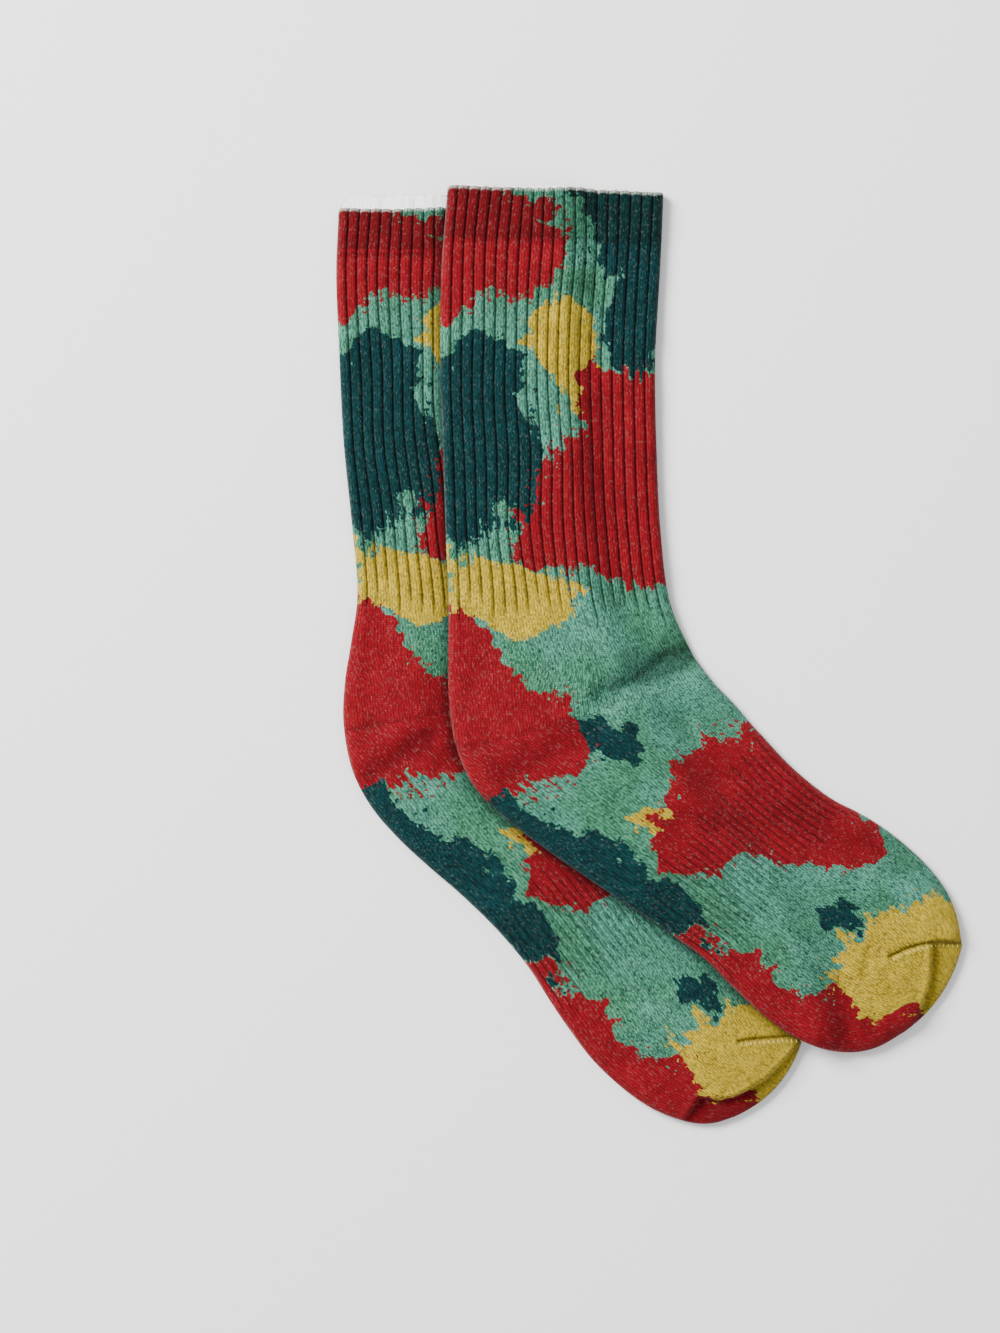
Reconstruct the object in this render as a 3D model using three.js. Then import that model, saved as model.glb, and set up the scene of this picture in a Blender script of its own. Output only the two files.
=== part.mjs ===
// A pair of ribbed crew socks laid flat, one over the edge of the other.
// Each sock is one knitted tube of real wall thickness: an outer surface with raised ribs,
// a plain inner surface, and an open mouth at the cuff. Millimetres, +Z up, underside at z = 0.
import * as THREE from "three";
import { mergeVertices } from "three/addons/utils/BufferGeometryUtils.js";

// Driving sizes of the knitted tube as it lies flat.
const CLOTH = {
  height: 6.2, // both layers together
  wall: 2.2, // one layer
  hollow: 1.2, // the space left between the layers
  leastHollow: 0.2,
  leastWall: 1.7, // the top layer where a crease thins it
  foldRadius: 3.5, // how far in from its edge the flattened tube rounds over
  puffRadius: 1.2, // how much further its top does so for each millimetre of puff
  foldHeight: 2.6, // where the edge is widest, above the surface below
};
const WELT = { length: 21, step: 0.35 }; // the doubled cuff stands a little proud
const LEG_RIBS = { count: 20, depth: 0.9, groove: 0.2 }; // groove as a share of the pitch
const ARCH_RIBS = { count: 30, depth: 0.6, groove: 0.3 };
const PRESS_WIDTH = 14; // the upper sock presses the lower one flat this far past its edge
const SEAM_DEPTH = 1.1; // the linked toe seam sinks into the cloth
const TOE_LAYER = 3.6; // height of the single layer that shows past the folded toe
const TOE_FOLD_WIDTH = 1.6;
const TOE_ROWS = 5; // rows of sections that the folded toe reaches back
const TOE_FILL_ROWS = 2; // over which its folded cloth fills the puff of the hollow

// The upper sock rides over the lower one's edge and then comes down to the surface.
const DRAPE = { gap: 0.3, overhang: 4, run: 21 };

// Points across one section, and along the hollow.
const GRID = { plain: 17, hollow: 14, toe: 13, hollowStep: 2 };
const EDGE_STEPS = [0, 0.9, 2.3]; // distances in from each edge, millimetres
const HOLLOW_END = 0.3; // rows of sections between the toe and the end of the hollow
const LEAST_RISE = 0.2; // keeps the layers apart right beside a closed edge
const RIM_CURVE = 7; // width over which the lower rim curves down at each fold of the mouth
const SETBACK_ROWS = 1.5; // rows of sections over which the mouth's setback fades
const OUTLINE = { perRow: 6, toe: 11 }; // points of the traced outline
const SAME_POINT = 1e-3; // points nearer than this are one
const NARROW = 12; // a section narrower than this draws its edge steps in

// Turns rows of numbers under named columns into objects.
function table(columns, rows) {
  return rows.map((row) => Object.fromEntries(columns.map((name, i) => [name, row[i]])));
}

// A section runs across the sock from its back edge (calf, heel, sole) to its front edge
// (shin, instep). steps is the number of sections on the way to the next row, ribs says which
// ribs start there, bow is how far the middle of the section bulges towards the toe, and puff
// is how much higher than the leg the middle stands, over the pockets of the heel and toe.
const SECTION = ["backX", "backY", "frontX", "frontY", "steps", "ribs", "bow", "puff"];

const UPPER_SECTIONS = table(SECTION, [
  [-82.8, 191.5, 5.9, 189.8, 2, "leg", 0, 0],
  [-85.3, 157.4, 4.5, 157.4, 2, "leg", 0, 0],
  [-85.7, 120.5, 2.5, 120.5, 2, "leg", 0, 0],
  [-84.7, 83.6, 3.1, 83.6, 2, "leg", 0, 0],
  [-83.6, 50.8, 4.7, 50.8, 2, "leg", 0, 0],
  [-82.4, 22.1, 8.4, 22.1, 3, "", 0, 0.6],
  [-82.5, -0.4, 17.0, 1.6, 2, "", 0, 1.6],
  [-82.2, -18.9, 20.9, -4.5, 2, "", 0, 2.2],
  [-79.7, -36.1, 24.6, -9.4, 2, "", 0, 2.5],
  [-73.0, -52.5, 28.3, -13.7, 2, "", 0, 2.5],
  [-61.3, -65.4, 32.0, -17.4, 2, "", 0, 2.3],
  [-48.4, -75.6, 35.7, -21.3, 2, "", 0, 2.0],
  [-34.4, -85.7, 39.4, -25.8, 2, "", 0, 1.8],
  [-21.5, -94.5, 42.8, -29.7, 2, "", 0, 1.5],
  [-8.6, -103.3, 46.7, -33.8, 1, "arch", 0, 1.0],
  [1.8, -109.7, 56.8, -44.7, 1, "arch", 0, 0.8],
  [12.3, -117.3, 66.6, -53.3, 1, "arch", 0, 0.9],
  [22.8, -125.0, 76.1, -60.1, 2, "", 0, 1.4],
  [34.2, -136.5, 85.5, -64.8, 2, "", 0, 2.0],
  [46.1, -147.4, 95.3, -70.7, 2, "", 0, 2.4],
  [58.0, -156.0, 105.2, -78.3, 2, "", 0, 2.5],
  [70.3, -161.5, 114.8, -87.5, 2, "", 0, 2.5],
  [82.2, -163.8, 122.0, -97.2, 2, "", 0.8, 2.3],
  [93.7, -161.7, 126.5, -107.8, 3, "", 2.4, 1.8],
  [104.8, -155.4, 128.7, -119.7, 0, "", 4.1, 1.0],
]);

const LOWER_SECTIONS = table(SECTION, [
  [-127.7, 187.8, -39.6, 188.2, 2, "leg", 0, 0],
  [-128.7, 157.4, -40.4, 157.4, 2, "leg", 0, 0],
  [-127.4, 122.6, -40.8, 122.6, 2, "leg", 0, 0],
  [-125.7, 87.7, -39.2, 88.6, 2, "leg", 0, 0],
  [-122.4, 54.9, -35.5, 56.6, 2, "leg", 0, 0],
  [-119.9, 26.2, -31.4, 28.3, 3, "", 0, 0.6],
  [-122.4, 5.7, -25.2, 9.8, 2, "", 0, 1.4],
  [-125.0, -10.7, -20.3, -0.8, 2, "", 0, 2.0],
  [-125.7, -27.9, -15.8, -9.0, 2, "", 0, 2.3],
  [-122.4, -46.7, -11.3, -17.6, 2, "", 0, 2.4],
  [-114.6, -62.3, -7.2, -25.4, 2, "", 0, 2.3],
  [-103.5, -75.4, -3.5, -32.8, 2, "", 0, 2.0],
  [-91.2, -86.9, 0.2, -40.2, 2, "", 0, 1.8],
  [-78.5, -97.8, 3.9, -47.6, 2, "", 0, 1.5],
  [-66.2, -109.5, 8.4, -55.8, 1, "arch", 0, 1.0],
  [-57.2, -119.3, 15.4, -66.0, 1, "arch", 0, 0.8],
  [-49.0, -129.6, 23.2, -75.4, 1, "arch", 0, 0.9],
  [-41.2, -141.9, 31.8, -85.3, 2, "", 0, 1.4],
  [-32.6, -154.6, 40.8, -96.8, 2, "", 0, 2.0],
  [-22.8, -167.3, 48.6, -108.2, 2, "", 0, 2.4],
  [-10.0, -179.2, 54.7, -120.5, 2, "", 0, 2.5],
  [2.3, -187.4, 59.2, -132.8, 2, "", 0, 2.5],
  [15.8, -192.3, 62.3, -144.3, 2, "", 1.2, 2.3],
  [26.0, -192.9, 63.5, -150.5, 3, "", 3.2, 1.8],
  [35.1, -190.2, 63.5, -156.6, 0, "", 5.3, 1.0],
]);

// Creases and soft valleys in the top layer, each along a straight run.
const FOLD = ["x1", "y1", "x2", "y2", "depth", "width"];

const UPPER_FOLDS = table(FOLD, [
  [20.7, 0.8, -21.1, -17.6, 2.6, 9],
  [-24.4, -30.3, -56.4, -50.8, 1.2, 11],
  [13.3, -66.0, 25.6, -70.5, 0.7, 6],
  [63.3, -68.1, 102.3, -86.1, 0.9, 16],
  [90.4, -120.5, 87.9, -130.4, 0.6, 5],
  [97.8, -124.6, 127.3, -118.5, SEAM_DEPTH, 3],
]);

const LOWER_FOLDS = table(FOLD, [
  [-89.6, -34.9, -113.8, -50.8, 1.8, 9],
  [35.9, -157.8, 61.7, -157.4, SEAM_DEPTH, 3],
]);

// The folded edge of the top layer at the toe, with that layer on its left: past it only the
// layer below shows.
const POINT = ["x", "y"];
const UPPER_TOE_FOLD = table(POINT, [
  [108.0, -156.0],
  [112.1, -145.5],
  [115.8, -134.1],
  [116.4, -127.5],
  [116.6, -118.9],
  [134.0, -118.9],
]);
const LOWER_TOE_FOLD = table(POINT, [
  [12.0, -196.0],
  [21.1, -182.4],
  [28.5, -183.3],
  [35.9, -182.0],
  [48.2, -174.7],
  [61.0, -161.5],
  [72.0, -157.4],
]);

const SOCKS = {
  lower: {
    sections: LOWER_SECTIONS,
    folds: LOWER_FOLDS,
    toeFold: LOWER_TOE_FOLD,
    mouthSetback: 5.7, // the top layer's rim lies this far below the other one's
    bottomPoints: 5,
  },
  upper: {
    sections: UPPER_SECTIONS,
    folds: UPPER_FOLDS,
    toeFold: UPPER_TOE_FOLD,
    mouthSetback: 1.0,
    bottomPoints: 11,
  },
};

const COLOURS = { teal: 0x19454a, mint: 0x63967f };

const smooth = (x) => {
  const t = Math.min(1, Math.max(0, x));
  return t * t * (3 - 2 * t);
};

// 1 at the middle of a section and 0 at its edges.
const dome = (across) => 4 * across * (1 - across);

// Distance from p to the segment a-b.
function toSegment(p, a, b) {
  const along = b.clone().sub(a);
  const share = p.clone().sub(a).dot(along) / along.lengthSq();
  return p.distanceTo(along.multiplyScalar(Math.min(1, Math.max(0, share))).add(a));
}

// Distance from p to a chain of points, positive on the left of its direction.
function toChain(p, chain) {
  let nearest = { distance: Infinity, side: 1 };
  for (let i = 0; i + 1 < chain.length; i++) {
    const [a, b] = [chain[i], chain[i + 1]];
    const distance = toSegment(p, a, b);
    if (distance < nearest.distance) {
      const cross = (b.x - a.x) * (p.y - a.y) - (b.y - a.y) * (p.x - a.x);
      nearest = { distance, side: Math.sign(cross) || 1 };
    }
  }
  return nearest.distance * nearest.side;
}

// The flat plan of a sock: where its edges run, and a point at any share along and across it.
class Plan {
  constructor(sections) {
    this.sections = sections;
    const edge = (x, y) =>
      new THREE.CatmullRomCurve3(
        sections.map((row) => new THREE.Vector3(row[x], row[y], 0)),
        false,
        "catmullrom",
      );
    this.back = edge("backX", "backY");
    this.front = edge("frontX", "frontY");
    this.outline = this.traceOutline();
  }

  // station counts rows of the table, with fractions between them.
  at(station, across) {
    const last = this.sections.length - 1;
    const share = station / last;
    const [a, b] = [this.back.getPoint(share), this.front.getPoint(share)];
    const bow = this.between(station, "bow");
    const chord = new THREE.Vector2(b.x - a.x, b.y - a.y);
    const ahead = new THREE.Vector2(chord.y, -chord.x).normalize();
    return new THREE.Vector2(a.x, a.y)
      .addScaledVector(chord, across)
      .addScaledVector(ahead, bow * dome(across));
  }

  // A column's value between two rows of the table.
  between(station, column) {
    const row = Math.min(Math.floor(station), this.sections.length - 2);
    const [from, to] = [this.sections[row][column], this.sections[row + 1][column]];
    return THREE.MathUtils.lerp(from, to, station - row);
  }

  width(station) {
    return this.at(station, 0).distanceTo(this.at(station, 1));
  }

  // The sock's edge from the mouth down the back, round the toe and up the front.
  traceOutline() {
    const last = this.sections.length - 1;
    const stations = evenly(last * OUTLINE.perRow + 1, 0, last);
    return [
      ...stations.map((s) => this.at(s, 0)),
      ...evenly(OUTLINE.toe, 0, 1).map((across) => this.at(last, across)),
      ...stations.reverse().map((s) => this.at(s, 1)),
    ];
  }

  // Distance in from the edge, for a point of the sock; its mouth is no edge.
  fromEdge(p) {
    return toChain(p, this.outline);
  }

  // Distance out from the sock to a point beside it or past its mouth, and 0 on the sock.
  beyond(p) {
    const rim = [this.at(0, 1), this.at(0, 0)];
    const pastMouth = toChain(p, rim) < 0;
    const edge = toChain(p, this.outline);
    if (pastMouth) return Math.min(Math.abs(edge), toSegment(p, rim[0], rim[1]));
    return Math.max(0, -edge);
  }
}

// How fully the flattened tube has risen, from 0 at its edge to 1 past the fold.
function rise(distance, radius) {
  const left = 1 - Math.min(1, Math.max(0, distance / radius));
  return Math.sqrt(1 - left * left);
}

function foldDepth(p, folds) {
  return folds.reduce((sum, fold) => {
    const a = new THREE.Vector2(fold.x1, fold.y1);
    const b = new THREE.Vector2(fold.x2, fold.y2);
    const off = toSegment(p, a, b) / (fold.width / 2);
    return sum + fold.depth * Math.exp(-off * off);
  }, 0);
}

class Sock {
  // support is the height of what lies below a point, and free the share of its puff that
  // nothing presses flat.
  constructor(spec, support, free) {
    Object.assign(this, spec);
    this.plan = new Plan(spec.sections);
    this.toeChain = spec.toeFold.map((p) => new THREE.Vector2(p.x, p.y));
    this.support = support;
    this.free = free;
  }

  rowsIntoToe(station) {
    return station - (this.sections.length - TOE_ROWS);
  }

  puffAt(p, station, across) {
    return this.plan.between(station, "puff") * dome(across) * this.free(p);
  }

  // Top of the cloth above its own underside, without ribs.
  topHeight(p, station, puff) {
    const rim = this.plan.at(0, 0.5);
    const welt = smooth(p.distanceTo(new THREE.Vector2(p.x, rim.y)) - WELT.length);
    let height = CLOTH.height + puff - WELT.step * welt;
    height -= foldDepth(p, this.folds);
    if (this.rowsIntoToe(station) > 0) {
      const kept = smooth(toChain(p, this.toeChain) / TOE_FOLD_WIDTH);
      height = TOE_LAYER + (height - TOE_LAYER) * kept;
    }
    return height;
  }

  // One of the four surfaces at a point: the outside and the hollow, each above and below.
  // On a closed edge the surface above meets the one below.
  height(layer, p, station, across, closed, groove) {
    const distance = this.plan.fromEdge(p);
    const puff = this.puffAt(p, station, across);
    const wider = CLOTH.puffRadius * this.plan.between(station, "puff") * this.free(p);
    const radius = CLOTH.foldRadius + (layer === "top" ? wider : 0);
    const full = closed ? 0 : Math.max(LEAST_RISE, rise(distance, radius));
    const top = this.topHeight(p, station, puff);
    const middle = CLOTH.foldHeight;
    if (layer === "top") return middle + (top - groove - middle) * full;
    if (layer === "bottom") return middle * (1 - full);
    const hollowPuff = puff * (1 - smooth(this.rowsIntoToe(station) / TOE_FILL_ROWS));
    const room = Math.min(CLOTH.hollow + hollowPuff, top - CLOTH.leastWall - CLOTH.wall);
    const ceiling = CLOTH.wall + Math.max(CLOTH.leastHollow, room);
    const centre = (CLOTH.wall + ceiling) / 2;
    const opened = closed ? 0 : Math.max(LEAST_RISE, rise(distance - CLOTH.wall, CLOTH.foldRadius));
    return centre + (layer === "ceiling" ? 0.5 : -0.5) * (ceiling - CLOTH.wall) * opened;
  }

  place(layer, station, across, closed, groove) {
    const p = this.plan.at(station, across);
    const z = this.height(layer, p, station, across, closed, groove) + this.support(p);
    const upper = layer === "top" || layer === "ceiling";
    const moved = this.mouthSetback * (upper || closed ? 1 : this.nearFold(across));
    return new THREE.Vector3(p.x, p.y - moved * (1 - smooth(station / SETBACK_ROWS)), z);
  }

  // 1 at either fold of the mouth, where the lower layer's rim comes down to the upper one's.
  nearFold(across) {
    const reach = this.plan.width(0) * Math.min(across, 1 - across);
    return 1 - smooth(reach / RIM_CURVE);
  }
}

// Shares across a section, with its rib grooves, for each kind of section.
function acrossSteps(kind, width, count) {
  if (kind === "leg" || kind === "arch") {
    const ribs = kind === "leg" ? LEG_RIBS : ARCH_RIBS;
    const steps = [{ share: 0 }];
    for (let rib = 0; rib < ribs.count; rib++) {
      if (rib > 0) steps.push({ share: rib / ribs.count, groove: ribs.depth });
      steps.push({ share: (rib + ribs.groove) / ribs.count });
      steps.push({ share: (rib + 1 - ribs.groove) / ribs.count });
    }
    return [...steps, { share: 1 }];
  }
  const near = EDGE_STEPS.map((distance) => distance / Math.max(width, NARROW));
  const first = 2 * near.at(-1) - near.at(-2);
  const inner = evenly(count, first, 1 - first);
  const far = near.map((share) => 1 - share).reverse();
  return [...near, ...inner, ...far].map((share) => ({ share }));
}

function evenly(count, from, to) {
  return Array.from({ length: count }, (_, i) => from + ((to - from) * i) / (count - 1));
}

// Triangles between two rows of points that may differ in number.
function zip(rowA, rowB, triangles, flip) {
  let [i, j] = [0, 0];
  while (i + 1 < rowA.length || j + 1 < rowB.length) {
    const nextA = i + 1 < rowA.length ? rowA[i + 1].share : Infinity;
    const nextB = j + 1 < rowB.length ? rowB[j + 1].share : Infinity;
    const step = nextA < nextB ? [rowA[i], rowA[i + 1], rowB[j]] : [rowA[i], rowB[j + 1], rowB[j]];
    if (nextA < nextB) i++;
    else j++;
    if (flip) step.reverse();
    triangles.push(step.map((corner) => corner.point));
  }
}

// Every section of a sock from its mouth to its toe. Where ribs begin or end, the section
// has their points but no grooves.
function places(sections) {
  const all = sections.flatMap((row, i) => {
    const before = sections[Math.max(0, i - 1)].ribs;
    return Array.from({ length: row.steps }, (_, k) => {
      const change = k === 0 && row.ribs !== before;
      return { at: i + k / row.steps, ribs: row.ribs || (change ? before : ""), grooved: !change };
    });
  });
  return [...all, { at: sections.length - 1, ribs: "", grooved: false }];
}

function buildSock(sock) {
  const triangles = [];
  const last = sock.sections.length - 1;
  const stations = places(sock.sections);
  const plain = (at, count) => acrossSteps("", sock.plan.width(at), count);
  const toeSteps = evenly(GRID.toe, 0, 1).map((share) => ({ share }));

  const outerSteps = (place) => {
    if (place.at === last) return toeSteps;
    if (!place.ribs) return plain(place.at, GRID.plain);
    const steps = acrossSteps(place.ribs, sock.plan.width(place.at));
    return place.grooved ? steps : steps.map(({ share }) => ({ share }));
  };
  const bottomSteps = (place) => (place.at === last ? toeSteps : plain(place.at, sock.bottomPoints));
  const hollowSteps = (place) => {
    const inset = CLOTH.wall / sock.plan.width(place.at);
    return evenly(GRID.hollow, inset, 1 - inset).map((share) => ({ share }));
  };

  const row = (layer, at, steps) =>
    steps.map(({ share, groove = 0 }, i) => {
      const closed = i === 0 || i === steps.length - 1 || at === last;
      return { share, point: sock.place(layer, at, share, closed, groove) };
    });
  // Adds one surface and returns its rows at the mouth and at the far end.
  const surface = (layer, along, stepsAt, flip) => {
    const rows = along.map((place) => row(layer, place.at, stepsAt(place)));
    rows.slice(1).forEach((next, i) => zip(rows[i], next, triangles, flip));
    return [rows[0], rows.at(-1)];
  };

  // The hollow stops short of the toe, where its two surfaces meet.
  const hollow = stations.filter((s, i) => s.at < last - HOLLOW_END && i % GRID.hollowStep === 0);
  const [topRim] = surface("top", stations, outerSteps, true);
  const [bottomRim] = surface("bottom", stations, bottomSteps, false);
  const [ceilingRim, ceilingEnd] = surface("ceiling", hollow, hollowSteps, false);
  const [floorRim, floorEnd] = surface("floor", hollow, hollowSteps, true);
  zip(topRim, ceilingRim, triangles, false);
  zip(bottomRim, floorRim, triangles, true);
  zip(ceilingEnd, floorEnd, triangles, false);
  return toGeometry(triangles);
}

function toGeometry(triangles) {
  const apart = (a, b) => a.distanceTo(b) > SAME_POINT;
  const real = triangles.filter(([a, b, c]) => apart(a, b) && apart(b, c) && apart(c, a));
  const geometry = new THREE.BufferGeometry().setFromPoints(real.flat());
  const merged = mergeVertices(geometry, SAME_POINT);
  merged.computeVertexNormals();
  return merged;
}

function cloth(colour) {
  return new THREE.MeshStandardMaterial({ color: colour, roughness: 0.95, metalness: 0 });
}

const upperPlan = new Plan(SOCKS.upper.sections);
const besideUpperSock = (p) => smooth(upperPlan.beyond(p) / PRESS_WIDTH);
const lowerSock = new Sock(SOCKS.lower, () => 0, besideUpperSock);

// Over the lower sock the upper one lies on it; past its edge it slopes down to the surface.
const overLowerSock = (p) => {
  const past = lowerSock.plan.beyond(p) - DRAPE.overhang;
  return (CLOTH.height + DRAPE.gap) * (1 - smooth(past / (DRAPE.run - DRAPE.overhang)));
};
const upperSock = new Sock(SOCKS.upper, overLowerSock, () => 1);

const lower = new THREE.Mesh(buildSock(lowerSock), cloth(COLOURS.teal));
lower.name = "sock_under";
const upper = new THREE.Mesh(buildSock(upperSock), cloth(COLOURS.mint));
upper.name = "sock_over";

const pair = new THREE.Group();
pair.add(lower, upper);

// The origin is under the middle of the pair.
const middle = new THREE.Box3().setFromObject(pair).getCenter(new THREE.Vector3());
for (const mesh of pair.children) mesh.geometry.translate(-middle.x, -middle.y, 0);

export default pair;
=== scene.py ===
import math

import bpy
import numpy as np
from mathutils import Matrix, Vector


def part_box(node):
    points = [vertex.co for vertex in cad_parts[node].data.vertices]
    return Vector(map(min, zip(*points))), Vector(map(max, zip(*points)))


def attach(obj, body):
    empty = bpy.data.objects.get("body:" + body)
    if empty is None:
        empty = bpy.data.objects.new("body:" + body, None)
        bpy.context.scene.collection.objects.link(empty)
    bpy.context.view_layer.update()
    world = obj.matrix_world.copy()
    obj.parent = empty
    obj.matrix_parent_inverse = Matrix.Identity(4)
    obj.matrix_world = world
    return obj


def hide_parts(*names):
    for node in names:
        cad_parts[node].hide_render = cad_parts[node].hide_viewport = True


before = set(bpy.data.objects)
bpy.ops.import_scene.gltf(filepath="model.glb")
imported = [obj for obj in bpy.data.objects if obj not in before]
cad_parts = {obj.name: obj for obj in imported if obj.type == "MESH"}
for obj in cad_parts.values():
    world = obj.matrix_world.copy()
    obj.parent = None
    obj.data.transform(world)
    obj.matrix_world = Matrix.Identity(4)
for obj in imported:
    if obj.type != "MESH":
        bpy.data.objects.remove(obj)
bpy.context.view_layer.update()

MM = 0.001

# Sizes of the flattened knitted tube, in millimetres.
HEIGHT = 6.2  # both layers together
WALL = 2.2  # one layer
HOLLOW = 1.2  # the space left between the layers
LEAST_HOLLOW = 0.25
LEAST_OPENING = 0.05  # half the hollow's height at its edges
LEAST_WALL = 1.7  # the top layer where a crease thins it
LEAST_HEIGHT = 3.1  # both layers where a crease presses them together
LEAST_HEIGHT_SOFTNESS = 0.25
FOLD_RADIUS = 3.5  # how far in from its edge the tube rounds over
PUFF_RADIUS = 1.2  # how much further its top does so for each millimetre of puff
FOLD_HEIGHT = 2.6  # where the edge is widest, above the surface below
PALE_EDGE = 0.7  # how far in the dye is thin along the folded edges
PRESS_WIDTH = 14.0  # the upper sock presses the lower one flat this far past its edge
CONTACT_SHADE = 1.1  # painted shade on the lower sock right beside the upper one
CONTACT_FALL = 7
DRAPE_GAP = 0.3
DRAPE_OVERHANG = 4.0
DRAPE_RUN = 21.0

# Unevenness of the top layer: size across and height of each kind of swelling.
SWELLS = [(36.0, 0.26), (14.0, 0.13), (4.5, 0.035)]
SWELL_WAVES, WAVE_SPREAD = 14, (0.6, 1.5)
WANDER = 0.55  # how far the ribs stray sideways
WANDER_SIZE = 60.0
WANDER_SEED, SWELL_SEED = 50, 51

# The doubled cuff, and the rim that closes it.
WELT_LENGTH = 21.0
WELT_STEP, WELT_STEP_LENGTH = 0.35, 1.0
WELT_LINE, WELT_LINE_WIDTH = 0.55, 0.8
# Painted shade along the welt line.
WELT_LINE_SHADE = 0.8
WELT_STATION = 0.62
WELT_STATION_FADE = 0.03
RIM_CURVE = 7.0
RIM_REACH = 0.95
RIM_ANGLES = [0.84, 0.66, 0.50, 0.34, 0.16]
RIM_UNEVEN = 0.22  # how far single ribs stand out at the rim
RIM_SCALLOP = 0.24  # how far each rib does so beyond its grooves
RIM_WAVE, RIM_WAVES = 0.35, 9
RIM_CORNER = 4.0  # the rim is even this near its corners
RIM_FADE_STATION = 1.5
RIM_WHITE_ROWS = 1
RIM_PALE_STATION = 0.03  # the dye fades towards the rim, where the yarn's core shows

# Ribs: how many, the depth of the grooves between them and their width as a share of a rib,
# the stations where they start and end, and how far from the folded edges they are whole.
LEG_RIBS = 20
LEG_GROOVE = 0.95
LEG_GROOVE_WIDTH = 0.105
LEG_DOME = 0.14
LEG_END = 4.98
LEG_END_SPREAD = (-0.3, 0.28)
LEG_END_FADE = 0.45
LEG_EDGE_RIBS = 0.5
ARCH_RIBS = 30
ARCH_GROOVE = 0.55
ARCH_GROOVE_WIDTH = 0.15
ARCH_START = 13.75
ARCH_END = 17.15
ARCH_END_SPREAD = (-0.35, 0.35)
ARCH_END_FADE = 0.6
ARCH_EDGE_RIBS = 1 / 1.2
# Painted shade in the grooves between ribs.
GROOVE_SHADE = 0.9

# Stitches: wales round one face, the height of a course, and where the heel's courses turn.
WALES = 80
COURSE = 0.95
SOLE_SPREAD = 0.05  # the thicker cloth of the heel and sole spreads its wales
SPREAD_START = 2.0  # stations over which it begins below the leg
MITRE_STATION = 8.2
GORE_DEPTH = 0.22
GORE_WIDTH = 0.9 / 16  # in stations
GORE_REACH, GORE_FADE = 0.40, 0.08  # how far across the sock the gore line runs
# Painted shade along the gore line.
GORE_SHADE = 0.5

# Above the mitre the courses carry on straight from the leg, below it from the foot: the
# stations that set each run, and where it starts to turn with the sections.
LEG_RUN, LEG_RUN_END, LEG_RUN_FADE = (3.0, 6.6), 6.0, 1.2
FOOT_RUN, FOOT_RUN_START, FOOT_RUN_FADE = (12.5, 17.0), 12.6, 2.5
RUN_REACH, RUN_SAMPLES = 0.55, 24
RUN_SIDE, RUN_SIDE_FADE = 0.66, 0.3

# The toe, whose seam is folded over to the top.
TOE_LAYER = 3.6
TOE_STATION = 20.0
TOE_FILL = 2.0  # stations over which its folded cloth fills the puff of the hollow
TOE_FOLD_WIDTH = 2.6
# Painted shade on the strip below the toe's fold.
TOE_FOLD_SHADE = 0.35
TOE_RIDGE, TOE_RIDGE_PLACE, TOE_RIDGE_WIDTH = 0.35, 1.8, 1.3
TOE_RIDGE_START = 1.5
SEAM_DEPTH = 1.35
SEAM_WIDTH = 0.75
# Painted shade along the sunk seam, and how wide it is.
SEAM_SHADE_WIDTH = 0.7
SEAM_DIP, SEAM_DIP_WIDTH = 0.35, 2.6
SEAM_LIP, SEAM_LIP_PLACE, SEAM_LIP_WIDTH = 0.35, 2.2, 1.1

# Sections across each sock, from its back edge (calf, heel, sole) to its front edge (shin,
# instep): backX, backY, frontX, frontY, bow towards the toe, puff of the top layer.
UPPER_SECTIONS = np.array([
    [-82.8, 191.5, 5.9, 189.8, 0, 0],
    [-85.3, 157.4, 4.5, 157.4, 0, 0],
    [-85.7, 120.5, 2.5, 120.5, 0, 0],
    [-84.7, 83.6, 3.1, 83.6, 0, 0],
    [-83.6, 50.8, 4.7, 50.8, 0, 0],
    [-82.4, 22.1, 8.4, 22.1, 0, 0.6],
    [-82.5, -0.4, 17.0, 1.6, 0, 1.6],
    [-82.2, -18.9, 20.9, -4.5, 0, 2.2],
    [-79.7, -36.1, 24.6, -9.4, 0, 2.5],
    [-73.0, -52.5, 28.3, -13.7, 0, 2.5],
    [-61.3, -65.4, 32.0, -17.4, 0, 2.3],
    [-48.4, -75.6, 35.7, -21.3, 0, 2.0],
    [-34.4, -85.7, 39.4, -25.8, 0, 1.8],
    [-21.5, -94.5, 42.8, -29.7, 0, 1.5],
    [-8.6, -103.3, 46.7, -33.8, 0, 1.0],
    [1.8, -109.7, 56.8, -44.7, 0, 0.8],
    [12.3, -117.3, 66.6, -53.3, 0, 0.9],
    [22.8, -125.0, 76.1, -60.1, 0, 1.4],
    [34.2, -136.5, 85.5, -64.8, 0, 2.0],
    [46.1, -147.4, 95.3, -70.7, 0, 2.4],
    [58.0, -156.0, 105.2, -78.3, 0, 2.5],
    [70.3, -161.5, 114.8, -87.5, 0, 2.5],
    [82.2, -163.8, 122.0, -97.2, 0.8, 2.3],
    [93.7, -161.7, 126.5, -107.8, 2.4, 1.8],
    [104.8, -155.4, 128.7, -119.7, 4.1, 1.0],
])
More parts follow.
